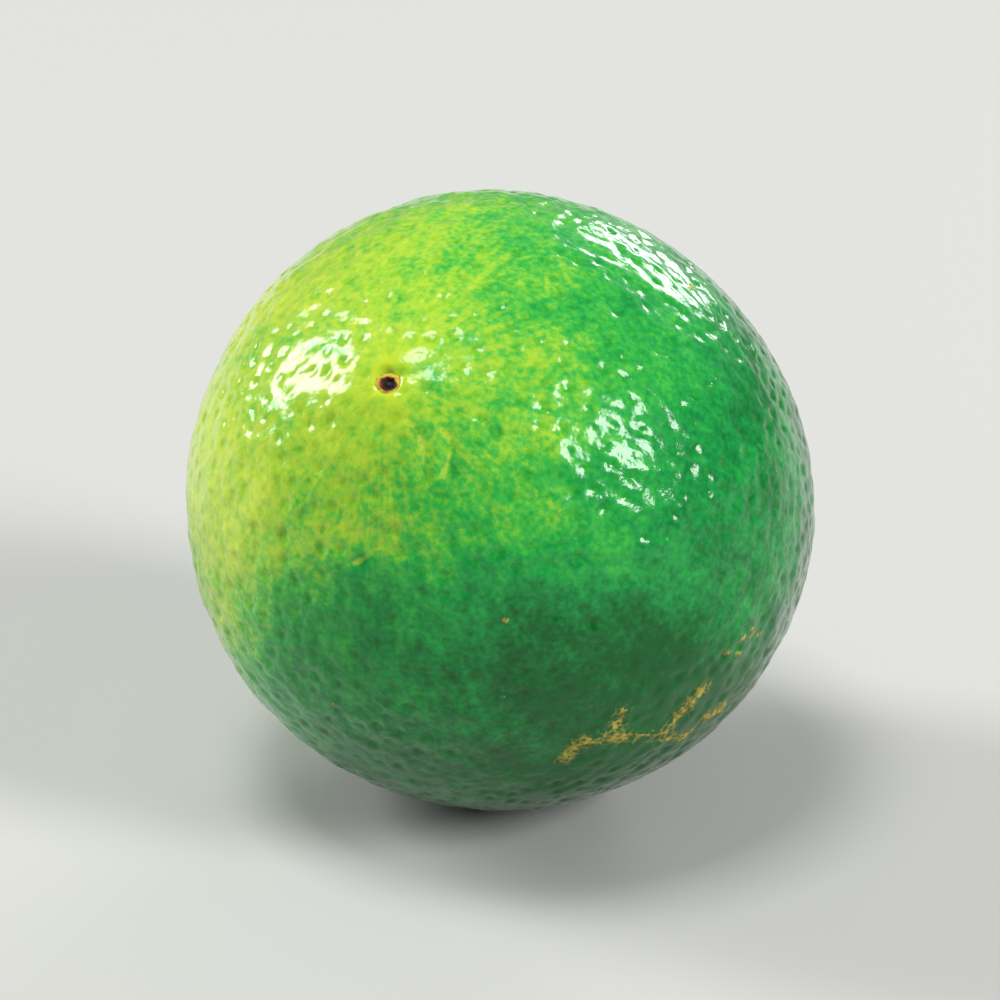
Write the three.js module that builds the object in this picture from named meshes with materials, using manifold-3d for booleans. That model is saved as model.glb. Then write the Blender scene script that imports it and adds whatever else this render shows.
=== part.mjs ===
// A lime as picked: one whole fruit, with the dry button of its calyx still on the stem end.
// It lies on a small flat spot in its peel and leans back, so that the blossom end looks forward and up.
//
// Millimetres, +Z up. The origin is on the surface that the lime rests on, under the middle of its box.
// The fruit's axis lies in the YZ plane, with the blossom end towards -Y and up and the stem end
// towards +Y and down.
//
// Run on its own: npm install three manifold-3d
import * as THREE from "three";
import { mergeVertices } from "three/addons/utils/BufferGeometryUtils.js";
import Module from "manifold-3d";

// Driving dimensions. A share is a share of the fruit's radius at that place.

const fruit = {
  diameter: 53, // across the equator
  bodyLength: 55, // along the axis, before the nipple and the hollow
  blossomTaper: 0.025, // how much slimmer the blossom half is, as a share
  ovalShare: 0.008, // how far the equator is out of round, as a share
  threeSidedShare: 0.005, // how far it is three-sided, as a share
  edgeSteps: 15, // triangles along each edge of the icosahedron that the peel starts from
};
const nipple = { height: 1.2, radius: 7 }; // the low swelling at the blossom end
const hollow = { height: 1.2, radius: 5 }; // the shallow hollow that the button sits in, into the fruit
const rest = { spotDepth: 0.66, leanBack: 49 }; // peel flattened underneath; the axis off upright, degrees

const calyx = {
  diameter: 5.6, // across the tips of its sepals
  sepals: 5,
  notch: 0.6, // how far the outline dips between two sepals
  thickness: 0.9,
  edgeRound: 0.2,
  outlinePoints: 60,
  gapToPeel: 0.3,
};
const stalk = {
  footDiameter: 2.3,
  tipDiameter: 1.9,
  height: 1.2, // above the calyx, where it snapped off
  sunk: 0.4, // how deep its foot is in the calyx
  sides: 20,
};

// The peel, in the fruit's own frame: the origin is the fruit's middle and +Z runs to the blossom end.

// A point of the peel, by its angle off the blossom end and its angle round the axis.
function peelPoint(polar, around) {
  const bulge = Math.sin(polar) ** 2;
  const oval = fruit.ovalShare * Math.cos(2 * around);
  const threeSided = fruit.threeSidedShare * Math.cos(3 * around);
  const taper = 1 - fruit.blossomTaper * Math.cos(polar);
  const offAxis = (fruit.diameter / 2) * Math.sin(polar) * taper * (1 + bulge * (oval + threeSided));

  const end = polar < Math.PI / 2 ? nipple : hollow;
  const alongAxis = (fruit.bodyLength / 2) * Math.cos(polar) + mound(end.height, end.radius, offAxis);
  return new THREE.Vector3(offAxis * Math.cos(around), offAxis * Math.sin(around), alongAxis);
}

// A smooth swelling: its full height on the axis, fading out beyond its radius.
function mound(height, radius, offAxis) {
  return height * Math.exp(-((offAxis / radius) ** 2));
}

function peelGeometry() {
  const geometry = new THREE.IcosahedronGeometry(1, fruit.edgeSteps - 1);
  const position = geometry.getAttribute("position");
  const direction = new THREE.Vector3();
  for (let i = 0; i < position.count; i++) {
    direction.fromBufferAttribute(position, i).normalize();
    const polar = Math.acos(THREE.MathUtils.clamp(direction.z, -1, 1));
    const point = peelPoint(polar, Math.atan2(direction.y, direction.x));
    position.setXYZ(i, point.x, point.y, point.z);
  }
  return geometry;
}

// The level, below the fruit's middle, that clears the peel everywhere under the calyx.
function peelUnderCalyx() {
  const step = 0.1 / fruit.diameter;
  let lowest = 0;
  for (let polar = Math.PI; peelPoint(polar, 0).x < calyx.diameter / 2; polar -= step)
    lowest = Math.min(lowest, peelPoint(polar, 0).z);
  return lowest;
}

// Closed three.js geometries to manifold-3d solids and back.

const wasm = await Module();
wasm.setup();

function solidFrom(geometry) {
  const loose = geometry.index ? geometry.toNonIndexed() : geometry.clone();
  loose.deleteAttribute("normal");
  loose.deleteAttribute("uv");
  const merged = mergeVertices(loose, 1e-4);
  return new wasm.Manifold(
    new wasm.Mesh({
      numProp: 3,
      vertProperties: merged.getAttribute("position").array,
      triVerts: new Uint32Array(merged.index.array),
    }),
  );
}

function geometryFrom(solid) {
  const mesh = solid.getMesh();
  const geometry = new THREE.BufferGeometry();
  geometry.setAttribute("position", new THREE.BufferAttribute(mesh.vertProperties, 3));
  geometry.setIndex(new THREE.BufferAttribute(mesh.triVerts, 1));
  geometry.computeVertexNormals();
  return geometry;
}

// The fruit, leaning back about X and flattened where it rests.

const leanBack = THREE.MathUtils.degToRad(rest.leanBack);
const wholePeel = peelGeometry().rotateX(leanBack);
wholePeel.computeBoundingBox();
const floorHeight = wholePeel.boundingBox.min.z + rest.spotDepth;

const slabSide = 2 * Math.max(fruit.diameter, fruit.bodyLength);
const slab = new THREE.BoxGeometry(slabSide, slabSide, slabSide);
slab.translate(0, 0, floorHeight - slabSide / 2);

const limeFruit = new THREE.Mesh(
  geometryFrom(solidFrom(wholePeel).subtract(solidFrom(slab))),
  new THREE.MeshStandardMaterial({ color: "#4f9a2e", roughness: 0.35, metalness: 0 }),
);
limeFruit.name = "lime_fruit";

// The stem button: the calyx with the snapped stalk, its flat underside at Z 0 and the stalk along +Z.

function calyxOutline() {
  const outline = new THREE.Shape();
  for (let i = 0; i < calyx.outlinePoints; i++) {
    const around = (2 * Math.PI * i) / calyx.outlinePoints;
    const dip = (calyx.notch * (1 - Math.cos(calyx.sepals * around))) / 2;
    const radius = calyx.diameter / 2 - calyx.edgeRound - dip;
    if (i === 0) outline.moveTo(radius, 0);
    else outline.lineTo(radius * Math.cos(around), radius * Math.sin(around));
  }
  outline.closePath();
  return outline;
}

const calyxDisc = new THREE.ExtrudeGeometry(calyxOutline(), {
  depth: calyx.thickness - 2 * calyx.edgeRound,
  bevelThickness: calyx.edgeRound,
  bevelSize: calyx.edgeRound,
  bevelSegments: 2,
});
calyxDisc.translate(0, 0, calyx.edgeRound);

const stalkLength = stalk.sunk + stalk.height;
const stalkStub = new THREE.CylinderGeometry(
  stalk.tipDiameter / 2,
  stalk.footDiameter / 2,
  stalkLength,
  stalk.sides,
);
stalkStub.rotateX(Math.PI / 2);
stalkStub.translate(0, 0, calyx.thickness - stalk.sunk + stalkLength / 2);

const stemButton = new THREE.Mesh(
  geometryFrom(solidFrom(calyxDisc).add(solidFrom(stalkStub))),
  new THREE.MeshStandardMaterial({ color: "#7d7a45", roughness: 0.8, metalness: 0 }),
);
stemButton.name = "stem_button";
stemButton.position.z = peelUnderCalyx() - calyx.gapToPeel;
stemButton.rotation.x = Math.PI; // the stalk points away from the fruit

// The part. The stem end keeps the fruit's own frame, so it leans back with the axis.

const stemEnd = new THREE.Group();
stemEnd.rotation.x = leanBack;
stemEnd.add(stemButton);

const lime = new THREE.Group();
lime.add(limeFruit, stemEnd);
const middle = wholePeel.boundingBox.getCenter(new THREE.Vector3());
lime.position.set(-middle.x, -middle.y, -floorHeight);

export default lime;
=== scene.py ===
import math

import bpy
from mathutils import Matrix, Vector, noise
from mathutils.bvhtree import BVHTree


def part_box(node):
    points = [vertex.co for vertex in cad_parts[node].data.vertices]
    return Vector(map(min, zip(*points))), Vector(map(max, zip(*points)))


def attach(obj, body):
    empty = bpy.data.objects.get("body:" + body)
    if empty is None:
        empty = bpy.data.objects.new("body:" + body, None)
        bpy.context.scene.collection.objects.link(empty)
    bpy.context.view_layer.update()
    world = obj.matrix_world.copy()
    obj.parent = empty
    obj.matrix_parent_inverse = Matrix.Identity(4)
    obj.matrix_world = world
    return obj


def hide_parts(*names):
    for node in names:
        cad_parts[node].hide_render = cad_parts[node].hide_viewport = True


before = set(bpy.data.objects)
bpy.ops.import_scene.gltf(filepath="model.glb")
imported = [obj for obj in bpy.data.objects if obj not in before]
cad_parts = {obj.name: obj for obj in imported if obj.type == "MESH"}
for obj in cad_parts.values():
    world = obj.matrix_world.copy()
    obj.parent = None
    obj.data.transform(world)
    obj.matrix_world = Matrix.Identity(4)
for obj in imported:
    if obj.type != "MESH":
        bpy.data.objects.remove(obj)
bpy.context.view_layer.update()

mm = 0.001
sums = "ShaderNodeMath"
vectors = "ShaderNodeVectorMath"
smoothly = {"interpolation_type": "SMOOTHSTEP"}
commonNoise = {"From Min": 0.3, "From Max": 0.7}  # nearly all of a noise's values lie between these
onPoints = {"data_type": "FLOAT", "domain": "POINT"}
placesOnPoints = {"data_type": "FLOAT_VECTOR", "domain": "POINT"}


# sRGB hex to the linear colour that a socket takes
def hexColour(code):
    parts = [int(code[i:i + 2], 16) / 255 for i in (1, 3, 5)]
    return [c / 12.92 if c <= 0.04045 else ((c + 0.055) / 1.055) ** 2.4 for c in parts] + [1.0]


# adds one node: settings are its own properties, inputs are values or the nodes that feed them
def addNode(tree, kind, settings=None, inputs=None):
    node = tree.nodes.new(kind)
    for name, value in (settings or {}).items():
        if name == "stops":
            ramp = node.color_ramp.elements
            while len(ramp) < len(value):
                ramp.new(1.0)
            for element, (place, code) in zip(ramp, value):
                element.position = place
                element.color = hexColour(code)
        else:
            setattr(node, name, value)
    for key, value in (inputs or {}).items():
        socket = node.inputs[key]
        if isinstance(key, str):
            socket = next(s for s in node.inputs if s.name == key and s.enabled)
        if isinstance(value, bpy.types.Node):
            value = next(s for s in value.outputs if s.enabled)
        if isinstance(value, bpy.types.NodeSocket):
            tree.links.new(value, socket)
        else:
            socket.default_value = value
    return node


def newMaterial(name):
    material = bpy.data.materials.new(name)
    material.use_nodes = True
    material.node_tree.nodes.clear()
    return material


def addObject(name, data):
    thing = bpy.data.objects.new(name, data)
    bpy.context.scene.collection.objects.link(thing)
    return thing


# the lean and the middle of the fruit, read from the solids
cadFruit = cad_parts["lime_fruit"].data.vertices
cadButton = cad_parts["stem_button"].data.vertices
fruitLow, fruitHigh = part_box("lime_fruit")
fruitWidth = (fruitHigh - fruitLow).x
fruitMiddle = sum((v.co for v in cadFruit), Vector()) / len(cadFruit)
buttonMiddle = sum((v.co for v in cadButton), Vector()) / len(cadButton)
stemward = (buttonMiddle - fruitMiddle).normalized()
blossomward = -stemward
leanBack = math.atan2(stemward.y, -stemward.z)
print("frame read: the fruit leans back", round(math.degrees(leanBack), 1), "degrees")

view = {
    "azimuth": 23.1,
    "elevation": 23.4,
    "lens": 120,
    "share": 0.63,  # how much of the picture's width the fruit fills
    "nearest": 0.01,
}
turned, raised = math.radians(view["azimuth"]), math.radians(view["elevation"])
onLevel = Vector((math.sin(turned), -math.cos(turned), 0))
towardCamera = onLevel * math.cos(raised) + Vector((0, 0, math.sin(raised)))
cameraRight = Vector((math.cos(turned), math.sin(turned), 0))
cameraUp = towardCamera.cross(cameraRight)


def makeCamera():
    data = bpy.data.cameras.new("camera")
    data.lens = view["lens"]
    data.clip_start = view["nearest"]
    distance = fruitWidth / view["share"] * data.lens / data.sensor_width
    camera = addObject("camera", data)
    turn = Matrix((cameraRight, cameraUp, towardCamera)).transposed().to_4x4()
    camera.matrix_world = Matrix.Translation((fruitLow + fruitHigh) / 2 + towardCamera * distance) @ turn
    bpy.context.scene.camera = camera


makeCamera()
print("camera placed")

peel = {
    "lengthPerWidth": 55 / 53,
    "blossomTaper": 0.025,
    "ovalShare": 0.008,
    "threeSidedShare": 0.005,
    "nippleHeight": 1.2 * mm,
    "nippleRadius": 7 * mm,
    "hollowDepth": 1.2 * mm,
    "hollowRadius": 5 * mm,
    "grid": 129,  # points along each side of the six faces that the ball is made of
    "lumpSize": 14 * mm,
    "lumpHeight": 0.22 * mm,
    "leatherSize": 2.4 * mm,
    "leatherHeight": 0.21 * mm,
    "pebbleSize": 1.1 * mm,
    "pebbleHeight": 0.07 * mm,
    "puckers": 11,  # the short furrows that run into the stem end
    "puckerDepth": 0.16 * mm,
    "puckerStart": 2.5 * mm,
    "puckerEnd": 9 * mm,
    "puckerSway": 0.9,  # how far the furrows stray from straight, in radians
    "puckerSwaySize": 5 * mm,
    "creaseWidth": 0.6 * mm,
    "creaseDepth": 0.12 * mm,
    "scarFloor": 0.6 * mm,  # the dent that holds the stylar scar: its flat middle, its rim and its depth
    "scarRadius": 1.3 * mm,
    "scarDepth": 0.62 * mm,
    "glandSpacing": 1.55 * mm,
    "glandsTried": 2e6,  # to a square metre, so that only the spacing limits them
    "glandRadius": 0.66 * mm,
    "glandDepth": 0.17 * mm,
    "glandSmallest": 0.5,  # each gland's own size, as a share of the radius and the depth
    "glandLargest": 1.25,
    "glandWarp": 0.3 * mm,  # how far its outline strays from round
    "glandWarpSize": 0.7 * mm,
    "floorRounding": 0.3 * mm,
    "seed": 7,
}
halfWidth = fruitWidth / 2 / (1 + peel["ovalShare"])
halfLength = halfWidth * peel["lengthPerWidth"]
tipHeight = halfLength + peel["nippleHeight"]

# marks on the peel, each by its start, middle and end: degrees from the blossom end, degrees round the axis
creases = [
    ((8, -53), (12, -49), (17, -57)),
    ((13, -30), (16, -35), (19, -48)),
    ((25, -84), (28, -85), (32, -94)),
]
windScars = [
    ((80, -58), (78, -51), (88, -42)),
    ((88, -42), (87, -38), (85, -31)),
    ((88, -41), (94, -41), (96, -37)),
    ((95, -34), (97, -32), (98, -30)),
    ((78, -49), (77, -47), (75, -44)),
]
specks = [
    ((65, 47), (65.4, 47.3), (65.7, 47.8)),
    ((45.5, -53.6), (45.6, -53.4), (45.7, -53.3)),
    ((82.6, -23.6), (82.8, -23.2), (83.1, -23)),
    ((84.2, -20), (84.5, -19.6), (84.6, -19)),
    ((86.1, -22.3), (86.4, -22), (86.8, -21.8)),
    ((87.3, -18.4), (87.6, -18), (87.8, -17.2)),
    ((89.6, -16.8), (89.8, -16.4), (90.2, -16)),
    ((85.6, -17.2), (85.8, -17), (86, -16.8)),
]


def onBall(fromBlossom, around):
    polar, turn = math.radians(fromBlossom), math.radians(around)
    return Vector((math.sin(polar) * math.cos(turn), math.sin(polar) * math.sin(turn), math.cos(polar)))


# an even grid of directions: a cube's faces pushed out onto a ball, its points spread by a tangent first
def growBall(tree, given, place):
    cube = addNode(tree, "GeometryNodeMeshCube", {}, {
        "Size": (2, 2, 2),
        "Vertices X": given["Grid"], "Vertices Y": given["Grid"], "Vertices Z": given["Grid"],
    })
    quarter = addNode(tree, vectors, {"operation": "SCALE"}, {0: place, "Scale": math.pi / 4})
    even = addNode(tree, vectors, {"operation": "TANGENT"}, {0: quarter})
    ball = addNode(tree, vectors, {"operation": "NORMALIZE"}, {0: even})
    return addNode(tree, "GeometryNodeSetPosition", {}, {"Geometry": cube.outputs["Mesh"], "Position": ball})


# how far each point of the ball is from the creases, from the wind scars and from the specks
def measureMarks(tree, given, place, skin):
    for name, lines in (("crease", creases), ("windScar", windScars), ("speck", specks)):
        joined = addNode(tree, "GeometryNodeJoinGeometry")
        for line in lines:
            start, middle, end = (onBall(*point) for point in line)
            arc = addNode(tree, "GeometryNodeCurveQuadraticBezier", {}, {
                "Resolution": 12, "Start": start, "Middle": middle * 2 - (start + end) / 2, "End": end,
            })
            tree.links.new(arc.outputs["Curve"], joined.inputs["Geometry"])
        edges = addNode(tree, "GeometryNodeCurveToMesh", {}, {"Curve": joined})
        outward = addNode(tree, vectors, {"operation": "NORMALIZE"}, {0: place})
        onSkin = addNode(tree, "GeometryNodeSetPosition", {}, {"Geometry": edges, "Position": outward})
        near = addNode(tree, "GeometryNodeProximity", {"target_element": "EDGES"}, {0: onSkin})
        away = addNode(tree, sums, {"operation": "MULTIPLY"}, {
            0: near.outputs["Distance"], 1: given["Half Width"],
        })
        skin = addNode(tree, "GeometryNodeStoreNamedAttribute", onPoints, {
            "Geometry": skin, "Name": name, "Value": away,
        })
    return skin


# the body: an ellipsoid, slimmer towards the blossom end and a little out of round, with a nipple on the
# blossom end and a hollow in the stem end. xx - yy makes it oval, and x(xx - 3yy) gives it three sides
def shapeBody(tree, given, place, skin):
    squares = addNode(tree, vectors, {"operation": "MULTIPLY"}, {0: place, 1: place})
    axes = addNode(tree, "ShaderNodeSeparateXYZ", {}, {0: place})
    twoLobes = addNode(tree, vectors, {"operation": "DOT_PRODUCT"}, {0: squares, 1: (1, -1, 0)})
    lobePair = addNode(tree, vectors, {"operation": "DOT_PRODUCT"}, {0: squares, 1: (1, -3, 0)})
    threeLobes = addNode(tree, sums, {"operation": "MULTIPLY"}, {0: lobePair, 1: axes.outputs["X"]})
    oval = addNode(tree, sums, {"operation": "MULTIPLY_ADD"}, {0: twoLobes, 1: given["Oval"], 2: 1.0})
    lobed = addNode(tree, sums, {"operation": "MULTIPLY_ADD"}, {
        0: threeLobes, 1: given["Three Sided"], 2: oval,
    })
    slimmer = addNode(tree, sums, {"operation": "MULTIPLY"}, {
        0: axes.outputs["Z"], 1: given["Blossom Taper"],
    })
    taper = addNode(tree, sums, {"operation": "SUBTRACT"}, {0: 1.0, 1: slimmer})
    spread = addNode(tree, sums, {"operation": "MULTIPLY"}, {0: lobed, 1: taper})
    reach = addNode(tree, sums, {"operation": "MULTIPLY"}, {0: spread, 1: given["Half Width"]})
    flat = addNode(tree, vectors, {"operation": "MULTIPLY"}, {0: place, 1: (1, 1, 0)})
    side = addNode(tree, vectors, {"operation": "SCALE"}, {0: flat, "Scale": reach})
    offAxis = addNode(tree, vectors, {"operation": "LENGTH"}, {0: side})

    ends = {}
    for name in ("Nipple", "Hollow"):
        ratio = addNode(tree, sums, {"operation": "DIVIDE"}, {0: offAxis, 1: given[name + " Radius"]})
        square = addNode(tree, sums, {"operation": "MULTIPLY"}, {0: ratio, 1: ratio})
        minus = addNode(tree, sums, {"operation": "MULTIPLY"}, {0: square, 1: -1.0})
        fade = addNode(tree, sums, {"operation": "EXPONENT"}, {0: minus})
        ends[name] = addNode(tree, sums, {"operation": "MULTIPLY"}, {0: fade, 1: given[name + " Height"]})
    blossomHalf = addNode(tree, sums, {"operation": "GREATER_THAN"}, {0: axes.outputs["Z"], 1: 0.0})
    end = addNode(tree, "GeometryNodeSwitch", {"input_type": "FLOAT"}, {
        "Switch": blossomHalf, "False": ends["Hollow"], "True": ends["Nipple"],
    })
    along = addNode(tree, sums, {"operation": "MULTIPLY_ADD"}, {
        0: axes.outputs["Z"], 1: given["Half Length"], 2: end,
    })
    upright = addNode(tree, "ShaderNodeCombineXYZ", {}, {"Z": along})
    body = addNode(tree, vectors, {"operation": "ADD"}, {0: side, 1: upright})
    skin = addNode(tree, "GeometryNodeSetPosition", {}, {"Geometry": skin, "Position": body})
    return addNode(tree, "GeometryNodeStoreNamedAttribute", placesOnPoints, {
        "Geometry": skin, "Name": "fruitPlace", "Value": place,
    })


# broad lumps, the leathery swell between glands and small pebbles, all sunk into the body
def roughenPeel(tree, given, place, normal, skin):
    for name, detail in (("Lump", 1.5), ("Leather", 1.0), ("Pebble", 0.0)):
        scale = addNode(tree, sums, {"operation": "DIVIDE"}, {0: 1.0, 1: given[name + " Size"]})
        waves = addNode(tree, "ShaderNodeTexNoise", {}, {"Vector": place, "Scale": scale, "Detail": detail})
        sunk = addNode(tree, "ShaderNodeMapRange", {}, {
            "Value": waves.outputs["Fac"],
            "From Min": 0.25, "From Max": 0.75, "To Min": -1.0, "To Max": 0.0,
        })
        height = addNode(tree, sums, {"operation": "MULTIPLY"}, {0: sunk, 1: given[name + " Height"]})
        shift = addNode(tree, vectors, {"operation": "SCALE"}, {0: normal, "Scale": height})
        skin = addNode(tree, "GeometryNodeSetPosition", {}, {"Geometry": skin, "Offset": shift})
    return skin


# puckers that run into the hollow round the stem button, the creases, and the dent for the stylar scar
def foldPeel(tree, given, normal, skin):
    fruitPlace = addNode(tree, "GeometryNodeInputNamedAttribute", {"data_type": "FLOAT_VECTOR"}, {
        "Name": "fruitPlace",
    })
    axes = addNode(tree, "ShaderNodeSeparateXYZ", {}, {0: fruitPlace})
    angle = addNode(tree, sums, {"operation": "ARCTAN2"}, {0: axes.outputs["Y"], 1: axes.outputs["X"]})
    sway = addNode(tree, "ShaderNodeTexNoise", {}, {
        "Vector": fruitPlace, "Scale": 1 / peel["puckerSwaySize"], "Detail": 1.0,
    })
    unevenAngle = addNode(tree, sums, {"operation": "MULTIPLY_ADD"}, {
        0: sway.outputs["Fac"], 1: given["Pucker Sway"], 2: angle,
    })
    turns = addNode(tree, sums, {"operation": "MULTIPLY"}, {0: unevenAngle, 1: given["Puckers"]})
    wave = addNode(tree, sums, {"operation": "COSINE"}, {0: turns})
    furrow = addNode(tree, "ShaderNodeMapRange", {}, {"Value": wave, "From Min": -1.0, "From Max": 0.6})
    stemReach = addNode(tree, vectors, {"operation": "DISTANCE"}, {0: fruitPlace, 1: (0, 0, -halfWidth)})
    nearStem = addNode(tree, "ShaderNodeMapRange", smoothly, {
        "Value": stemReach, "From Min": given["Pucker Start"], "From Max": given["Pucker End"],
        "To Min": -1.0, "To Max": 0.0,
    })
    pucker = addNode(tree, sums, {"operation": "MULTIPLY"}, {0: furrow, 1: nearStem})
    puckerDepth = addNode(tree, sums, {"operation": "MULTIPLY"}, {0: pucker, 1: given["Pucker Depth"]})
    fromCrease = addNode(tree, "GeometryNodeInputNamedAttribute", {"data_type": "FLOAT"}, {
        "Name": "crease",
    })
    crease = addNode(tree, "ShaderNodeMapRange", smoothly, {
        "Value": fromCrease,
        "From Min": 0.0, "From Max": given["Crease Width"], "To Min": -1.0, "To Max": 0.0,
    })
    sunkCrease = addNode(tree, sums, {"operation": "MULTIPLY_ADD"}, {
        0: crease, 1: given["Crease Depth"], 2: puckerDepth,
    })
    scarReach = addNode(tree, vectors, {"operation": "DISTANCE"}, {0: fruitPlace, 1: (0, 0, tipHeight)})
    scarDent = addNode(tree, "ShaderNodeMapRange", smoothly, {
        "Value": scarReach, "From Min": given["Scar Floor"], "From Max": given["Scar Radius"],
        "To Min": -1.0, "To Max": 0.0,
    })
    sunk = addNode(tree, sums, {"operation": "MULTIPLY_ADD"}, {
        0: scarDent, 1: given["Scar Depth"], 2: sunkCrease,
    })
    folded = addNode(tree, vectors, {"operation": "SCALE"}, {0: normal, "Scale": sunk})
    return addNode(tree, "GeometryNodeSetPosition", {}, {"Geometry": skin, "Offset": folded})


# leaned back, laid in the box of the solid and pressed flat where it rests
def layDown(tree, given, place, skin):
    leaning = addNode(tree, "ShaderNodeVectorRotate", {"rotation_type": "X_AXIS"}, {
        "Vector": place, "Angle": given["Lean Back"],
    })
    skin = addNode(tree, "GeometryNodeSetPosition", {}, {"Geometry": skin, "Position": leaning})
    box = addNode(tree, "GeometryNodeBoundBox", {}, {"Geometry": skin})
    boxSum = addNode(tree, vectors, {"operation": "ADD"}, {0: box.outputs["Min"], 1: box.outputs["Max"]})
    solidSum = addNode(tree, vectors, {"operation": "ADD"}, {0: given["Box Low"], 1: given["Box High"]})
    apart = addNode(tree, vectors, {"operation": "SUBTRACT"}, {0: solidSum, 1: boxSum})
    toMiddle = addNode(tree, vectors, {"operation": "MULTIPLY"}, {0: apart, 1: (0.5, 0.5, 0)})
    toTop = addNode(tree, vectors, {"operation": "SUBTRACT"}, {0: given["Box High"], 1: box.outputs["Max"]})
    upOnly = addNode(tree, vectors, {"operation": "MULTIPLY"}, {0: toTop, 1: (0, 0, 1)})
    move = addNode(tree, vectors, {"operation": "ADD"}, {0: toMiddle, 1: upOnly})
    skin = addNode(tree, "GeometryNodeSetPosition", {}, {"Geometry": skin, "Offset": move})
    laid = addNode(tree, "ShaderNodeSeparateXYZ", {}, {0: place})
    pressed = addNode(tree, sums, {"operation": "SMOOTH_MAX"}, {
        0: laid.outputs["Z"], 1: 0.0, 2: given["Floor Rounding"],
    })
    restPlace = addNode(tree, "ShaderNodeCombineXYZ", {}, {
        "X": laid.outputs["X"], "Y": laid.outputs["Y"], "Z": pressed,
    })
    return addNode(tree, "GeometryNodeSetPosition", {}, {"Geometry": skin, "Position": restPlace})


# oil glands: points no closer than their spacing, each a pit of its own size
def pressGlands(tree, given, place, normal, skin):
    points = addNode(tree, "GeometryNodeDistributePointsOnFaces", {"distribute_method": "POISSON"}, {
        "Mesh": skin, "Distance Min": given["Gland Spacing"], "Density Max": peel["glandsTried"],
        "Seed": given["Seed"],
    })
    ownSize = addNode(tree, "FunctionNodeRandomValue", {"data_type": "FLOAT"}, {
        "Min": given["Smallest Gland"], "Max": given["Largest Gland"], "Seed": given["Seed"],
    })
    glands = addNode(tree, "GeometryNodeStoreNamedAttribute", onPoints, {
        "Geometry": points.outputs["Points"], "Name": "glandSize", "Value": ownSize,
    })
    nearest = addNode(tree, "GeometryNodeSampleNearest", {"domain": "POINT"}, {"Geometry": glands})
    sizeThere = addNode(tree, "GeometryNodeInputNamedAttribute", {"data_type": "FLOAT"}, {
        "Name": "glandSize",
    })
    itsPlace = addNode(tree, "GeometryNodeSampleIndex", placesOnPoints, {
        "Geometry": glands, "Value": place, "Index": nearest,
    })
    itsSize = addNode(tree, "GeometryNodeSampleIndex", onPoints, {
        "Geometry": glands, "Value": sizeThere, "Index": nearest,
    })
    away = addNode(tree, vectors, {"operation": "DISTANCE"}, {0: place, 1: itsPlace})
    uneven = addNode(tree, "ShaderNodeTexNoise", {}, {
        "Vector": place, "Scale": 1 / peel["glandWarpSize"], "Detail": 0.0,
    })
    warped = addNode(tree, sums, {"operation": "MULTIPLY_ADD"}, {
        0: uneven.outputs["Fac"], 1: peel["glandWarp"], 2: away,
    })
    fromIt = addNode(tree, sums, {"operation": "SUBTRACT"}, {0: warped, 1: peel["glandWarp"] / 2})
    itsRadius = addNode(tree, sums, {"operation": "MULTIPLY"}, {0: itsSize, 1: given["Gland Radius"]})
    pit = addNode(tree, "ShaderNodeMapRange", smoothly, {
        "Value": fromIt, "From Min": itsRadius, "From Max": 0.0, "To Min": 0.0, "To Max": 1.0,
    })
    skin = addNode(tree, "GeometryNodeStoreNamedAttribute", onPoints, {
        "Geometry": skin, "Name": "gland", "Value": pit,
    })
    deep = addNode(tree, sums, {"operation": "MULTIPLY"}, {0: pit, 1: itsSize})
    inward = addNode(tree, sums, {"operation": "MULTIPLY"}, {0: deep, 1: given["Gland Depth"]})
    outward = addNode(tree, sums, {"operation": "MULTIPLY"}, {0: inward, 1: -1.0})
    shift = addNode(tree, vectors, {"operation": "SCALE"}, {0: normal, "Scale": outward})
    return addNode(tree, "GeometryNodeSetPosition", {}, {"Geometry": skin, "Offset": shift})


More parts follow.
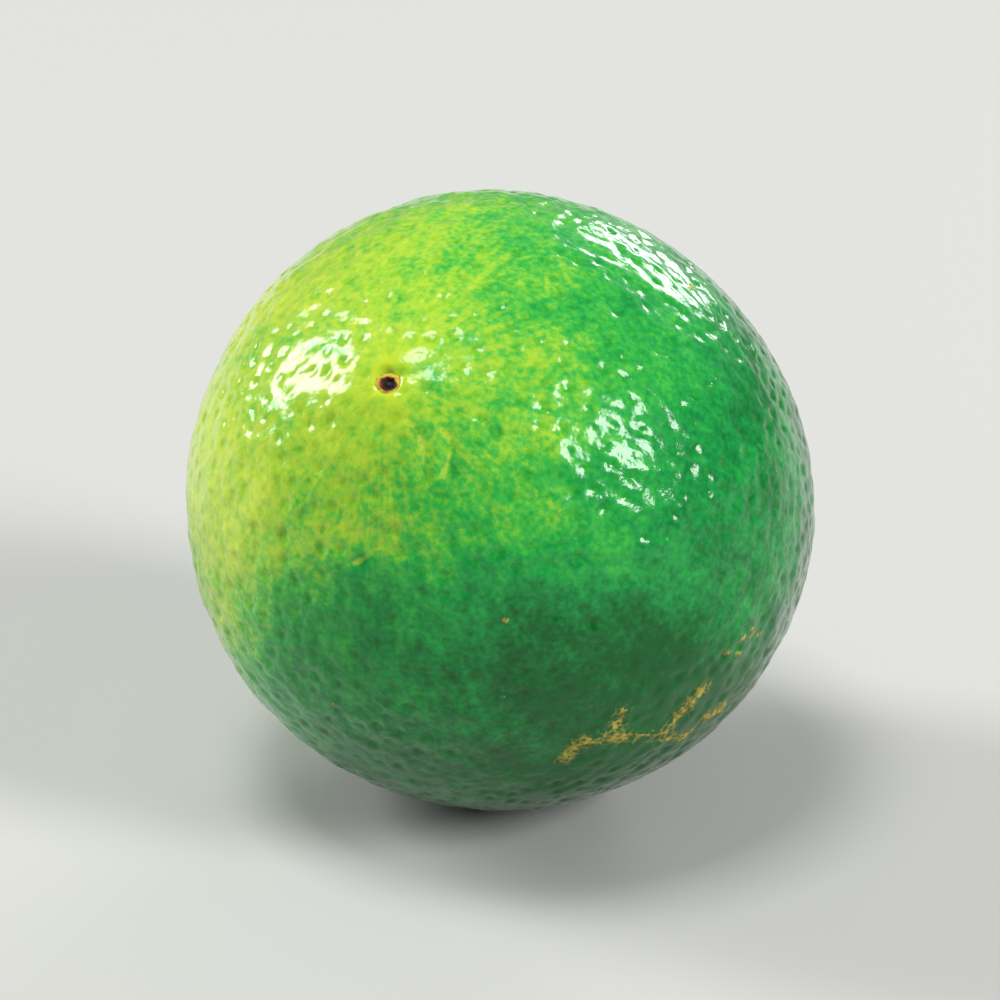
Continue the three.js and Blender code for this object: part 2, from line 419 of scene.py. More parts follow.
def growPeel(material):
    tree = bpy.data.node_groups.new("lime peel", "GeometryNodeTree")
    tree.interface.new_socket("Geometry", in_out="OUTPUT", socket_type="NodeSocketGeometry")
    sizes = {
        "Half Width": ("Float", halfWidth),
        "Half Length": ("Float", halfLength),
        "Blossom Taper": ("Float", peel["blossomTaper"]),
        "Oval": ("Float", peel["ovalShare"]),
        "Three Sided": ("Float", peel["threeSidedShare"]),
        "Nipple Height": ("Float", peel["nippleHeight"]),
        "Nipple Radius": ("Float", peel["nippleRadius"]),
        "Hollow Height": ("Float", peel["hollowDepth"]),
        "Hollow Radius": ("Float", peel["hollowRadius"]),
        "Lean Back": ("Float", leanBack),
        "Box Low": ("Vector", fruitLow),
        "Box High": ("Vector", fruitHigh),
        "Grid": ("Int", peel["grid"]),
        "Lump Size": ("Float", peel["lumpSize"]),
        "Lump Height": ("Float", peel["lumpHeight"]),
        "Leather Size": ("Float", peel["leatherSize"]),
        "Leather Height": ("Float", peel["leatherHeight"]),
        "Pebble Size": ("Float", peel["pebbleSize"]),
        "Pebble Height": ("Float", peel["pebbleHeight"]),
        "Puckers": ("Int", peel["puckers"]),
        "Pucker Depth": ("Float", peel["puckerDepth"]),
        "Pucker Start": ("Float", peel["puckerStart"]),
        "Pucker End": ("Float", peel["puckerEnd"]),
        "Pucker Sway": ("Float", peel["puckerSway"]),
        "Crease Width": ("Float", peel["creaseWidth"]),
        "Crease Depth": ("Float", peel["creaseDepth"]),
        "Scar Floor": ("Float", peel["scarFloor"]),
        "Scar Radius": ("Float", peel["scarRadius"]),
        "Scar Depth": ("Float", peel["scarDepth"]),
        "Gland Spacing": ("Float", peel["glandSpacing"]),
        "Gland Radius": ("Float", peel["glandRadius"]),
        "Gland Depth": ("Float", peel["glandDepth"]),
        "Smallest Gland": ("Float", peel["glandSmallest"]),
        "Largest Gland": ("Float", peel["glandLargest"]),
        "Floor Rounding": ("Float", peel["floorRounding"]),
        "Seed": ("Int", peel["seed"]),
        "Material": ("Material", material),
    }
    sockets = {
        name: tree.interface.new_socket(name, in_out="INPUT", socket_type="NodeSocket" + kind)
        for name, (kind, value) in sizes.items()
    }
    given = addNode(tree, "NodeGroupInput").outputs
    place = addNode(tree, "GeometryNodeInputPosition")
    normal = addNode(tree, "GeometryNodeInputNormal")

    skin = growBall(tree, given, place)
    skin = measureMarks(tree, given, place, skin)
    skin = shapeBody(tree, given, place, skin)
    skin = roughenPeel(tree, given, place, normal, skin)
    skin = foldPeel(tree, given, normal, skin)
    skin = layDown(tree, given, place, skin)
    skin = pressGlands(tree, given, place, normal, skin)
    skin = addNode(tree, "GeometryNodeSetShadeSmooth", {}, {"Geometry": skin})
    skin = addNode(tree, "GeometryNodeRealizeInstances", {}, {"Geometry": skin})
    skin = addNode(tree, "GeometryNodeSetMaterial", {}, {"Geometry": skin, "Material": given["Material"]})
    addNode(tree, "NodeGroupOutput", {}, {"Geometry": skin})

    piece = addObject("peel", bpy.data.meshes.new("peel"))
    modifier = piece.modifiers.new("lime peel", "NODES")
    modifier.node_group = tree
    for name, (kind, value) in sizes.items():
        modifier[sockets[name].identifier] = value
    grown = bpy.data.meshes.new_from_object(piece.evaluated_get(bpy.context.evaluated_depsgraph_get()))
    piece.modifiers.clear()
    piece.data = grown
    return piece


# what the peel looks like; every length here is in millimetres
rind = {
    "ripeAndLitSide": (-0.71, -0.53, 0.46),  # where it ripened most and where painted light from the key lamp's side lightens it, from its middle
    "paintedShadeSide": (0.24, -0.68, -0.63),  # painted shade: darker green towards the lower front, from its middle
    "shadeStart": 12.0,
    "shadeEnd": 19.0,
    "shadeAmount": -0.76,
    # patches, clouds and flecks of ripeness: how wide, how much detail, and how far they shift it
    "clouds": [(13, 3.0, 0.22), (5, 2.0, 0.13), (1.8, 2.0, 0.14), (0.5, 2.0, 0.22)],
    # streaks that run from end to end, in the same terms, in a space stretched along the axis
    "streaks": [(0.9, 2.0, 0.1), (2.6, 1.0, 0.08)],
    "streakWidth": 22.0,
    "streakStretch": 0.22,
    "leastRipeAndLit": -1.0,
    "mostRipeAndLit": 1.25,
    # the greens along that scale: the darkest stops also carry painted shade, and the lightest carry painted
    # light
    "ripeningAndPaintedLight": [
        (0.0, "#02561f"), (0.11, "#036429"), (0.22, "#067633"), (0.31, "#0e863b"), (0.44, "#1e983e"),
        (0.57, "#3eaa3e"), (0.66, "#66b63a"), (0.75, "#8ac036"), (0.86, "#a4c636"), (1.0, "#b8d03c"),
    ],
    # a mark fades out from its start to its end, and its strength is how much of it shows at the start
    "tipYellow": "#bcd02a",
    "tipStart": 2.8,
    "tipEnd": 6.8,
    "tipStrength": 0.85,
    "tipRagged": 5.0,
    "tipRaggedSize": 1.6,
    "creasePale": "#c3d84a",
    "creaseStart": 0.35,
    "creaseEnd": 0.72,
    "creaseStrength": 0.62,
    "creaseFray": 0.8,
    "creaseFraySize": 1.1,
    # the glands' tint: the darker middle stops lie on the pit's wall, partly the gland's colour and partly
    # painted shade in the pit
    "glandRingAndPitShade": [(0.0, "#ffffff"), (0.35, "#eaf6e0"), (0.7, "#e6f4d6"), (1.0, "#fbffe8")],
    # how the cork frays: how wide, how much detail, and how far it eats into the line
    "frays": [(2.6, 1.0, 0.5), (0.45, 2.0, 0.7)],
    "lineStart": 0.75,
    "lineEnd": 1.05,
    "lineStrength": 0.9,
    "netSize": 0.95,
    "netBend": 0.8,
    "netBendSize": 0.9,
    "netStart": 1.0,
    "netEnd": 1.7,
    "netStrength": 0.7,
    "threadStart": 0.03,  # shares of the net's size
    "threadEnd": 0.14,
    "speckSpacing": 3.6,
    "speckChance": 0.4,
    "speckStart": 0.025,  # shares of the spacing
    "speckEnd": 0.05,
    "speckStrength": 0.7,
    "bruiseStart": 0.1,
    "bruiseEnd": 0.35,
    "bruiseStrength": 0.9,
    "cork": [(0.35, "#6f6a2e"), (0.5, "#a3923f"), (0.65, "#c0ad58")],
    "corkMottleSize": 0.5,
    "corkHeight": 0.06,
    "corkRoughness": 0.75,
    "corkWax": 0.15,
    "roughness": 0.34,
    "wax": 0.9,
    "grainSize": 0.45,
    "grainHeight": 0.035,
}


# the green of the rind: ripeness with painted light on the key lamp's side and painted shade on the lower
# front, with clouds and streaks
def addRipeColourAndPaintedLight(tree, place, fruitPlace):
    fromMiddle = addNode(tree, vectors, {"operation": "SUBTRACT"}, {0: place, 1: fruitMiddle / mm})
    # painted light: lighter towards the key lamp's side, mixed with where it ripened
    toRipeAndLitSide = addNode(tree, vectors, {"operation": "DOT_PRODUCT"}, {0: fromMiddle, 1: rind["ripeAndLitSide"]})
    ripenessAndPaintedLight = addNode(tree, sums, {"operation": "DIVIDE"}, {0: toRipeAndLitSide, 1: fruitWidth / 2 / mm})
    flat = addNode(tree, vectors, {"operation": "MULTIPLY"}, {0: fruitPlace, 1: (1, 1, 0)})
    spoke = addNode(tree, vectors, {"operation": "NORMALIZE"}, {0: flat})
    wide = addNode(tree, vectors, {"operation": "SCALE"}, {0: spoke, "Scale": rind["streakWidth"]})
    length = addNode(tree, vectors, {"operation": "MULTIPLY"}, {
        0: fruitPlace, 1: (0, 0, rind["streakStretch"] / mm),
    })
    spun = addNode(tree, vectors, {"operation": "ADD"}, {0: wide, 1: length})
    patterns = [(place, *cloud) for cloud in rind["clouds"]] + [(spun, *streak) for streak in rind["streaks"]]
    for where, size, detail, amount in patterns:
        cloud = addNode(tree, "ShaderNodeTexNoise", {}, {
            "Vector": where, "Scale": 1 / size, "Detail": detail,
        })
        shift = addNode(tree, "ShaderNodeMapRange", {}, {
            "Value": cloud.outputs["Fac"], **commonNoise, "To Min": -amount, "To Max": amount,
        })
        ripenessAndPaintedLight = addNode(tree, sums, {"operation": "ADD"}, {0: ripenessAndPaintedLight, 1: shift})
    # painted shade: the green darkens towards the lower front
    toPaintedShade = addNode(tree, vectors, {"operation": "DOT_PRODUCT"}, {0: fromMiddle, 1: rind["paintedShadeSide"]})
    shaded = addNode(tree, "ShaderNodeMapRange", smoothly, {
        "Value": toPaintedShade, "From Min": rind["shadeStart"], "From Max": rind["shadeEnd"],
        "To Min": 0.0, "To Max": rind["shadeAmount"],
    })
    ripenessAndPaintedLight = addNode(tree, sums, {"operation": "ADD"}, {0: ripenessAndPaintedLight, 1: shaded})
    share = addNode(tree, "ShaderNodeMapRange", {}, {
        "Value": ripenessAndPaintedLight, "From Min": rind["leastRipeAndLit"], "From Max": rind["mostRipeAndLit"],
    })
    return addNode(tree, "ShaderNodeValToRGB", {"stops": rind["ripeningAndPaintedLight"]}, {"Fac": share})


# yellow round the stylar scar
def addTipYellow(tree, place, fruitPlace, colour):
    fromTip = addNode(tree, vectors, {"operation": "MULTIPLY"}, {0: fruitPlace, 1: (1 / mm, 1 / mm, 0)})
    tipReach = addNode(tree, vectors, {"operation": "LENGTH"}, {0: fromTip})
    axes = addNode(tree, "ShaderNodeSeparateXYZ", {}, {0: fruitPlace})
    onBlossomEnd = addNode(tree, sums, {"operation": "GREATER_THAN"}, {0: axes.outputs["Z"], 1: 0.0})
    ragged = addNode(tree, "ShaderNodeTexNoise", {}, {
        "Vector": place, "Scale": 1 / rind["tipRaggedSize"], "Detail": 2.0,
    })
    raggedReach = addNode(tree, sums, {"operation": "MULTIPLY_ADD"}, {
        0: ragged.outputs["Fac"], 1: rind["tipRagged"], 2: tipReach,
    })
    areola = addNode(tree, "ShaderNodeMapRange", smoothly, {
        "Value": raggedReach, "From Min": rind["tipStart"], "From Max": rind["tipEnd"],
        "To Min": rind["tipStrength"], "To Max": 0.0,
    })
    areolaHere = addNode(tree, sums, {"operation": "MULTIPLY"}, {0: areola, 1: onBlossomEnd})
    return addNode(tree, "ShaderNodeMix", {"data_type": "RGBA"}, {
        "Factor": areolaHere, "A": colour, "B": hexColour(rind["tipYellow"]),
    })


# pale creases, and the glands: each is a faint dark ring round a paler window; the dark ring lies on the
# pit's wall and is partly painted shade in the pit
def addCreasesAndGlands(tree, place, colour):
    fromCrease = addNode(tree, "ShaderNodeAttribute", {"attribute_name": "crease"}).outputs["Fac"]
    gland = addNode(tree, "ShaderNodeAttribute", {"attribute_name": "gland"}).outputs["Fac"]
    fray = addNode(tree, "ShaderNodeTexNoise", {}, {
        "Vector": place, "Scale": 1 / rind["creaseFraySize"], "Detail": 2.0,
    })
    frayed = addNode(tree, sums, {"operation": "MULTIPLY_ADD"}, {
        0: fray.outputs["Fac"], 1: rind["creaseFray"] * mm, 2: fromCrease,
    })
    crease = addNode(tree, "ShaderNodeMapRange", smoothly, {
        "Value": frayed, "From Min": rind["creaseStart"] * mm, "From Max": rind["creaseEnd"] * mm,
        "To Min": rind["creaseStrength"], "To Max": 0.0,
    })
    colour = addNode(tree, "ShaderNodeMix", {"data_type": "RGBA"}, {
        "Factor": crease, "A": colour, "B": hexColour(rind["creasePale"]),
    })
    glandTintAndPitShade = addNode(tree, "ShaderNodeValToRGB", {"stops": rind["glandRingAndPitShade"]}, {"Fac": gland})
    return addNode(tree, "ShaderNodeMix", {"data_type": "RGBA", "blend_type": "MULTIPLY"}, {
        "Factor": 1.0, "A": colour, "B": glandTintAndPitShade,
    })


# how corky the rind is: the wind scar, a frayed, broken line in a net of thin threads, and small specks
def addCork(tree, place):
    fromScar = addNode(tree, "ShaderNodeAttribute", {"attribute_name": "windScar"}).outputs["Fac"]
    fromSpeck = addNode(tree, "ShaderNodeAttribute", {"attribute_name": "speck"}).outputs["Fac"]
    fromLine = addNode(tree, sums, {"operation": "DIVIDE"}, {0: fromScar, 1: mm})
    for size, detail, amount in rind["frays"]:
        rag = addNode(tree, "ShaderNodeTexNoise", {}, {
            "Vector": place, "Scale": 1 / size, "Detail": detail,
        })
        shift = addNode(tree, "ShaderNodeMapRange", {}, {
            "Value": rag.outputs["Fac"], **commonNoise, "To Min": 0.0, "To Max": amount,
        })
        fromLine = addNode(tree, sums, {"operation": "ADD"}, {0: fromLine, 1: shift})
    line = addNode(tree, "ShaderNodeMapRange", smoothly, {
        "Value": fromLine, "From Min": rind["lineStart"], "From Max": rind["lineEnd"],
        "To Min": rind["lineStrength"], "To Max": 0.0,
    })
    bent = addNode(tree, "ShaderNodeTexNoise", {}, {
        "Vector": place, "Scale": 1 / rind["netBendSize"], "Detail": 2.0,
    })
    bend = addNode(tree, vectors, {"operation": "MULTIPLY_ADD"}, {
        0: bent.outputs["Color"], 1: (rind["netBend"],) * 3, 2: place,
    })
    net = addNode(tree, "ShaderNodeTexVoronoi", {"feature": "DISTANCE_TO_EDGE"}, {
        "Vector": bend, "Scale": 1 / rind["netSize"],
    })
    thread = addNode(tree, "ShaderNodeMapRange", smoothly, {
        "Value": net.outputs["Distance"], "From Min": rind["threadStart"], "From Max": rind["threadEnd"],
        "To Min": 1.0, "To Max": 0.0,
    })
    netReach = addNode(tree, "ShaderNodeMapRange", smoothly, {
        "Value": fromLine, "From Min": rind["netStart"], "From Max": rind["netEnd"],
        "To Min": rind["netStrength"], "To Max": 0.0,
    })
    netHere = addNode(tree, sums, {"operation": "MULTIPLY"}, {0: thread, 1: netReach})
    scarred = addNode(tree, sums, {"operation": "MAXIMUM"}, {0: line, 1: netHere})

    # one tiny speck in some of the cells of a wide pattern, and the larger ones listed with the marks
    cells = addNode(tree, "ShaderNodeTexVoronoi", {}, {"Vector": place, "Scale": 1 / rind["speckSpacing"]})
    cellDice = addNode(tree, "ShaderNodeSeparateColor", {}, {"Color": cells.outputs["Color"]})
    chosen = addNode(tree, sums, {"operation": "GREATER_THAN"}, {
        0: cellDice.outputs["Red"], 1: 1 - rind["speckChance"],
    })
    speck = addNode(tree, "ShaderNodeMapRange", smoothly, {
        "Value": cells.outputs["Distance"], "From Min": rind["speckStart"], "From Max": rind["speckEnd"],
        "To Min": rind["speckStrength"], "To Max": 0.0,
    })
    speckHere = addNode(tree, sums, {"operation": "MULTIPLY"}, {0: speck, 1: chosen})
    bruise = addNode(tree, "ShaderNodeMapRange", smoothly, {
        "Value": fromSpeck, "From Min": rind["bruiseStart"] * mm, "From Max": rind["bruiseEnd"] * mm,
        "To Min": rind["bruiseStrength"], "To Max": 0.0,
    })
    speckled = addNode(tree, sums, {"operation": "MAXIMUM"}, {0: speckHere, 1: bruise})
    return addNode(tree, sums, {"operation": "MAXIMUM"}, {0: scarred, 1: speckled})


# a waxed lime's rind: glossy, deep green, dotted with oil glands, and yellower on one side, partly where it
# ripened and partly painted light, with painted shade on its lower front.
# A clear coat makes the wax's gloss and a little light passes into the rind. Cork is matt and stands proud
def makePeelMaterial():
    material = newMaterial("waxy lime peel")
    tree = material.node_tree
    coords = addNode(tree, "ShaderNodeTexCoord")
    place = addNode(tree, vectors, {"operation": "SCALE"}, {0: coords.outputs["Object"], "Scale": 1 / mm})
    fruitPlace = addNode(tree, "ShaderNodeAttribute", {"attribute_name": "fruitPlace"}).outputs["Vector"]
    colour = addRipeColourAndPaintedLight(tree, place, fruitPlace)
    colour = addTipYellow(tree, place, fruitPlace, colour)
    colour = addCreasesAndGlands(tree, place, colour)
    cork = addCork(tree, place)
    tan = addNode(tree, "ShaderNodeTexNoise", {}, {
        "Vector": place, "Scale": 1 / rind["corkMottleSize"], "Detail": 2.0,
    })
    corkColour = addNode(tree, "ShaderNodeValToRGB", {"stops": rind["cork"]}, {"Fac": tan.outputs["Fac"]})
    colour = addNode(tree, "ShaderNodeMix", {"data_type": "RGBA"}, {
        "Factor": cork, "A": colour, "B": corkColour,
    })
    grain = addNode(tree, "ShaderNodeTexNoise", {}, {
        "Vector": place, "Scale": 1 / rind["grainSize"], "Detail": 3.0,
    })
    grainHeight = addNode(tree, sums, {"operation": "MULTIPLY"}, {
        0: grain.outputs["Fac"], 1: rind["grainHeight"],
    })
    height = addNode(tree, sums, {"operation": "MULTIPLY_ADD"}, {
        0: cork, 1: rind["corkHeight"], 2: grainHeight,
    })
    bump = addNode(tree, "ShaderNodeBump", {}, {"Strength": 1.0, "Distance": mm, "Height": height})
    gloss = addNode(tree, "ShaderNodeMapRange", {}, {
        "Value": cork, "To Min": rind["roughness"], "To Max": rind["corkRoughness"],
    })
    wax = addNode(tree, "ShaderNodeMapRange", {}, {
        "Value": cork, "To Min": rind["wax"], "To Max": rind["corkWax"],
    })
    shader = addNode(tree, "ShaderNodeBsdfPrincipled", {}, {
        "Base Color": colour, "Roughness": gloss, "IOR": 1.45, "Specular IOR Level": 0.06,
        "Subsurface Weight": 0.1, "Subsurface Radius": (0.6, 1.0, 0.3), "Subsurface Scale": 1.2 * mm,
        "Coat Weight": wax, "Coat Roughness": 0.1, "Coat IOR": 1.38, "Normal": bump, "Coat Normal": bump,
    })
    addNode(tree, "ShaderNodeOutputMaterial", {}, {"Surface": shader})
    return material


limePeel = growPeel(makePeelMaterial())
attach(limePeel, "root")
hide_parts("lime_fruit")
skinTree = BVHTree.FromPolygons(
    [v.co for v in limePeel.data.vertices], [f.vertices for f in limePeel.data.polygons]
)
clearOfPeel = 40  # millimetres from the middle of the fruit to where a ray towards the peel starts
print("peel grown:", len(limePeel.data.polygons), "faces")

# what dried tissue looks like; every length here is in millimetres
dry = {
    "blotchSize": 0.5,
    "blotchShift": 0.1,
    "grainSize": 0.22,
    "grainHeight": 0.12,
    "roughness": 0.75,
}


# dried plant tissue: matt, blotched and fibrous. Its colours follow the zone, from 0 where the piece's
# outline starts to 1 where it ends
def makeDryMaterial(name, stops):
    material = newMaterial(name)
    tree = material.node_tree
    coords = addNode(tree, "ShaderNodeTexCoord")
    place = addNode(tree, vectors, {"operation": "SCALE"}, {0: coords.outputs["Object"], "Scale": 1 / mm})
    zone = addNode(tree, "ShaderNodeAttribute", {"attribute_name": "zone"}).outputs["Fac"]
    blotch = addNode(tree, "ShaderNodeTexNoise", {}, {
        "Vector": place, "Scale": 1 / dry["blotchSize"], "Detail": 4.0,
    })
    shift = addNode(tree, "ShaderNodeMapRange", {}, {
        "Value": blotch.outputs["Fac"], **commonNoise,
        "To Min": -dry["blotchShift"], "To Max": dry["blotchShift"],
    })
    uneven = addNode(tree, sums, {"operation": "ADD"}, {0: zone, 1: shift})
    colour = addNode(tree, "ShaderNodeValToRGB", {"stops": stops}, {"Fac": uneven})
    grain = addNode(tree, "ShaderNodeTexNoise", {}, {
        "Vector": place, "Scale": 1 / dry["grainSize"], "Detail": 5.0,
    })
    height = addNode(tree, sums, {"operation": "MULTIPLY"}, {
        0: grain.outputs["Fac"], 1: dry["grainHeight"],
    })
    bump = addNode(tree, "ShaderNodeBump", {}, {"Distance": mm, "Height": height})
    shader = addNode(tree, "ShaderNodeBsdfPrincipled", {}, {
        "Base Color": colour, "Roughness": dry["roughness"], "Normal": bump,
    })
    addNode(tree, "ShaderNodeOutputMaterial", {}, {"Surface": shader})
    return material


# a smooth line through the points of an outline, with the same number of steps between each two
def smoothLine(points, steps):
    line = []
    for i in range(len(points) - 1):
        before, start = Vector(points[max(i - 1, 0)]), Vector(points[i])
        end, after = Vector(points[i + 1]), Vector(points[min(i + 2, len(points) - 1)])
        for k in range(steps):
            t = k / steps
            line.append(0.5 * (
                2 * start + (end - before) * t + (2 * before - 5 * start + 4 * end - after) * t * t
                + (3 * start - before - 3 * end + after) * t ** 3
            ))
    return line + [Vector(points[-1])]


# the two directions across outward that a turn round the axis is counted from
def acrossAxis(outward):
    sideways = Vector((1, 0, 0))
    return sideways, outward.cross(sideways)


# a closed round piece on the fruit's axis. place(ring, turn) gives its distance off the axis, its height
# along outward from base, and its zone, for each ring of the outline and each turn round the axis
def turnPiece(name, base, outward, rings, around, place, material):
    sideways, other = acrossAxis(outward)
    verts, faces, zones = [], [], []
    for ring in range(rings):
        for k in range(around if 0 < ring < rings - 1 else 1):
            turn = 2 * math.pi * k / around
            radius, height, zone = place(ring, turn)
            away = (sideways * math.cos(turn) + other * math.sin(turn)) * radius
            verts.append(base + away + outward * height)
            zones.append(zone)
    last = len(verts) - 1
    for k in range(around):
        after = (k + 1) % around
        faces.append((0, 1 + after, 1 + k))
        for ring in range(rings - 3):
            near, far = 1 + ring * around, 1 + (ring + 1) * around
            faces.append((near + k, near + after, far + after, far + k))
        faces.append((last, last - around + k, last - around + after))
    mesh = bpy.data.meshes.new(name)
    mesh.from_pydata(verts, [], faces)
    mesh.shade_smooth()
    mesh.attributes.new("zone", "FLOAT", "POINT").data.foreach_set("value", zones)
    mesh.materials.append(material)
    return addObject(name, mesh)


# how high the peel stands under a point off the axis, along outward from the middle of the fruit
def peelLevel(outward, radius, turn):
    sideways, other = acrossAxis(outward)
    off = sideways * (radius * math.cos(turn)) + other * (radius * math.sin(turn))
    hit = skinTree.ray_cast(fruitMiddle + off + outward * clearOfPeel * mm, -outward)[0]
    return (hit - fruitMiddle).dot(outward)


button = {
    "sepals": 5,
    "notch": 0.75 * mm,
    "sepalBluntness": 0.8,
    "sepalsFrom": 0.45,  # share of the radius where the calyx starts to part into sepals
    "lengthWaves": 1.3,  # how quickly each kind of unevenness changes round the button
    "coarseWaves": 3,
    "fibreWaves": 7,
    "unevenLength": 0.07,  # how much each spreads or shortens the radius, as a share of it
    "coarseSpread": 0.03,
    "fibreSpread": 0.035,
    "coarseRise": 0.14,  # this and the next three in millimetres
    "fibreCurl": 0.12,
    "notchDroop": 0.22,
    "stalkFibre": 0.1,
    "bedding": 0.03 * mm,  # how far its underside sits in the peel
    "around": 200,
    "steps": 8,
    # outline from the middle of the underside, over the sepal's tip, up the stalk and into its pith:
    # share of the calyx's radius, share of the height of the whole button
    "outline": [
        (0, 0), (0.5, 0), (0.93, 0), (1.0, 0.09), (0.97, 0.2), (0.8, 0.27), (0.62, 0.33), (0.5, 0.36),
        (0.42, 0.42), (0.41, 0.6), (0.4, 0.78), (0.395, 0.93), (0.34, 1.0), (0.27, 0.96), (0.21, 0.84),
        (0.1, 0.8), (0, 0.78),
    ],
    "undersidePoints": 2,
    # grey-green sepals, a brown neck, pale wood on the stalk and dark pith where it snapped
    "colours": [
        (0.0, "#4a3a20"), (0.17, "#3c2c17"), (0.23, "#5e4a26"), (0.3, "#8a8650"), (0.4, "#99985f"),
        (0.48, "#6d5a33"), (0.55, "#57452a"), (0.66, "#857350"), (0.74, "#b5a175"), (0.8, "#8d6f45"),
        (0.87, "#3b2716"), (1.0, "#20140c"),
    ],
}


def makeButton():
    along = [(v.co - fruitMiddle).dot(stemward) for v in cadButton]
    foot, tip = min(along), max(along)
    reach = max((v.co - fruitMiddle).cross(stemward).length for v in cadButton)
    line = smoothLine(button["outline"], button["steps"])
    underside = button["undersidePoints"] * button["steps"]

    def place(ring, turn):
        share, rise = line[ring]
        petal = abs(math.cos(button["sepals"] * turn / 2)) ** button["sepalBluntness"]
        outer = min(1, max(0, (share - button["sepalsFrom"]) / (1 - button["sepalsFrom"])))
        spoke = Vector((math.cos(turn), math.sin(turn), 0))
        ownLength = noise.noise(spoke * button["lengthWaves"] + Vector((4, 2, 9)))
        fibres = noise.noise(spoke * button["fibreWaves"] + Vector((0, 0, share * 2.5 + rise * 1.5)))
        coarse = noise.noise(spoke * share * button["coarseWaves"] + Vector((7, 3, rise * 2)))
        radius = share * reach - button["notch"] * (1 - petal) * outer
        shorter = button["unevenLength"] * outer * (1 - ownLength)
        fibrous = button["fibreSpread"] * fibres * min(1, share * 2)
        radius *= 1 - shorter + button["coarseSpread"] * coarse + fibrous
        if ring > underside:
            curl = (button["fibreCurl"] * fibres - button["notchDroop"] * (1 - petal)) * outer
            curl += button["stalkFibre"] * fibres * (1 - outer)
            height = foot + rise * (tip - foot) + (button["coarseRise"] * coarse + curl) * mm
        else:
            height = peelLevel(stemward, radius, turn) - button["bedding"]
        return radius, height, ring / (len(line) - 1)

    calyx = makeDryMaterial("dry calyx", button["colours"])
    return turnPiece("button", fruitMiddle, stemward, len(line), button["around"], place, calyx)


stemButton = makeButton()
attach(stemButton, "root")
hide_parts("stem_button")
print("stem button made")

scar = {
    "radius": 0.85 * mm,
    "levelReach": 1.35,  # share of the radius: how far out the peel's height is taken
    "levelStep": 15,  # degrees
    "roughWaves": 1.9,
    "roughness": 0.3,
    "ovalness": 0.1,
    "roughHeight": 0.05 * mm,
    "around": 72,
    "steps": 5,
    # outline from underneath, over the rim and down to the stub of the style: share of the radius, height
    "outline": [
        (0, -0.6 * mm), (0.7, -0.58 * mm), (1.0, -0.42 * mm), (1.12, -0.14 * mm), (1.04, 0.02 * mm),
        (0.9, 0.08 * mm), (0.76, 0.04 * mm), (0.64, -0.06 * mm), (0.54, -0.18 * mm), (0.4, -0.25 * mm),
        (0.24, -0.16 * mm), (0.1, -0.08 * mm), (0, -0.07 * mm),
    ],
    # nearly black in the pit, rust and ochre up its wall, yellow at the rim
    "colours": [
        (0.0, "#2a1408"), (0.35, "#120703"), (0.55, "#1c0c05"), (0.7, "#6e2f0c"), (0.85, "#c4701c"),
        (1.0, "#bfae30"),
    ],
}


def makeStylarScar():
    rim = scar["radius"] * scar["levelReach"]
    turns = range(0, 360, scar["levelStep"])
    aroundIt = sum(peelLevel(blossomward, rim, math.radians(turn)) for turn in turns) / len(turns)
    line = smoothLine(scar["outline"], scar["steps"])

    def place(ring, turn):
        share, height = line[ring]
        spot = Vector((math.cos(turn), math.sin(turn), 0)) * share
        rough = noise.noise(spot * scar["roughWaves"] + Vector((3, 5, height / mm * 2)))
        oval = scar["ovalness"] * math.cos(2 * turn)
        radius = share * scar["radius"] * (1 + scar["roughness"] * rough + oval)
        return radius, aroundIt + height + scar["roughHeight"] * rough * share, share

    corky = makeDryMaterial("stylar scar cork", scar["colours"])
    return turnPiece("stylarScar", fruitMiddle, blossomward, len(line), scar["around"], place, corky)


stylarScar = makeStylarScar()
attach(stylarScar, "root")
print("stylar scar made")

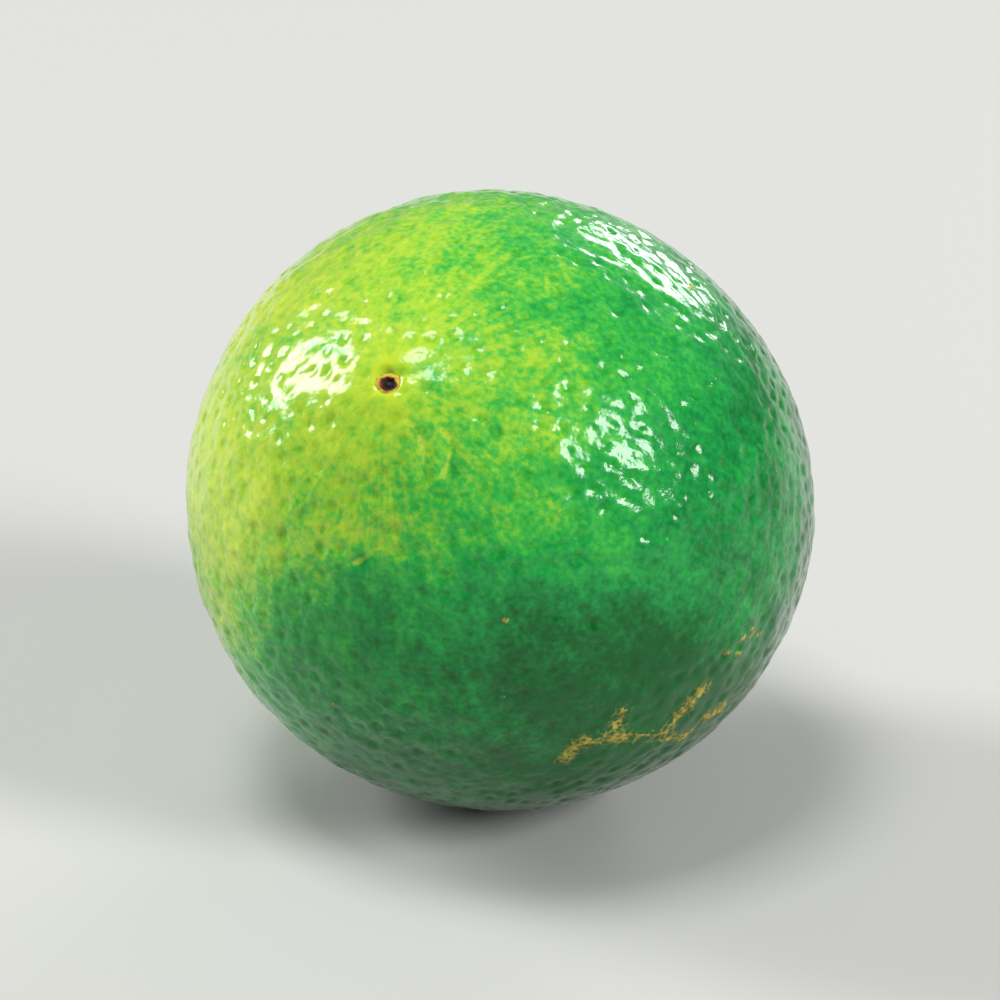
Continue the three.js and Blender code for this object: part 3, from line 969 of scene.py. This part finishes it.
room = {
    "floorHalf": 1.6,
    "floorColour": "#b8b8b5",
    "wallColour": "#fdfefe",
    "light": 0.22,  # how strongly the room lights the fruit
    "backdrop": 0.95,  # how bright it looks behind the fruit
    "reach": 3.6,
    # each softbox: where it hangs, to the right, up and toward the camera as seen from the fruit, its
    # width and height in metres, and its watts
    "softboxes": {
        "window left pane": ((-0.82, 0.55, -0.12), 1.0, 1.9, 106),
        "window right pane": ((-0.2, 0.82, 0.52), 1.2, 1.1, 68),
        "fill": ((0.75, 0.27, 0.6), 0.95, 1.5, 115),
        "back strip": ((0.438, 0.64, -0.64), 1.6, 0.68, 41),
    },
}


def makeFloor():
    half = room["floorHalf"]
    mesh = bpy.data.meshes.new("floor")
    corners = [(-half, -half, 0), (half, -half, 0), (half, half, 0), (-half, half, 0)]
    mesh.from_pydata(corners, [], [(0, 1, 2, 3)])
    material = newMaterial("matt pale grey card")
    tree = material.node_tree
    shader = addNode(tree, "ShaderNodeBsdfPrincipled", {}, {
        "Base Color": hexColour(room["floorColour"]), "Roughness": 0.8, "Specular IOR Level": 0.2,
    })
    addNode(tree, "ShaderNodeOutputMaterial", {}, {"Surface": shader})
    mesh.materials.append(material)
    addObject("floor", mesh)


def addSoftbox(name, where, width, height, watts):
    light = bpy.data.lights.new(name, "AREA")
    light.shape = "RECTANGLE"
    light.size = width
    light.size_y = height
    light.energy = watts
    right, up, toward = where
    aim = (cameraRight * right + cameraUp * up + towardCamera * toward).normalized()
    turn = aim.to_track_quat("Z", "Y").to_matrix().to_4x4()
    addObject(name, light).matrix_world = Matrix.Translation(fruitMiddle + aim * room["reach"]) @ turn


def makeWorld():
    world = bpy.data.worlds.new("soft room light")
    world.use_nodes = True
    tree = world.node_tree
    tree.nodes.clear()
    rays = addNode(tree, "ShaderNodeLightPath")
    strength = addNode(tree, "ShaderNodeMapRange", {}, {
        "Value": rays.outputs["Is Camera Ray"], "To Min": room["light"], "To Max": room["backdrop"],
    })
    background = addNode(tree, "ShaderNodeBackground", {}, {
        "Color": hexColour(room["wallColour"]), "Strength": strength,
    })
    addNode(tree, "ShaderNodeOutputWorld", {}, {"Surface": background})
    bpy.context.scene.world = world


makeFloor()
for name, settings in room["softboxes"].items():
    addSoftbox(name, *settings)
makeWorld()
bpy.context.scene.view_settings.view_transform = "Standard"
print("stage lit")
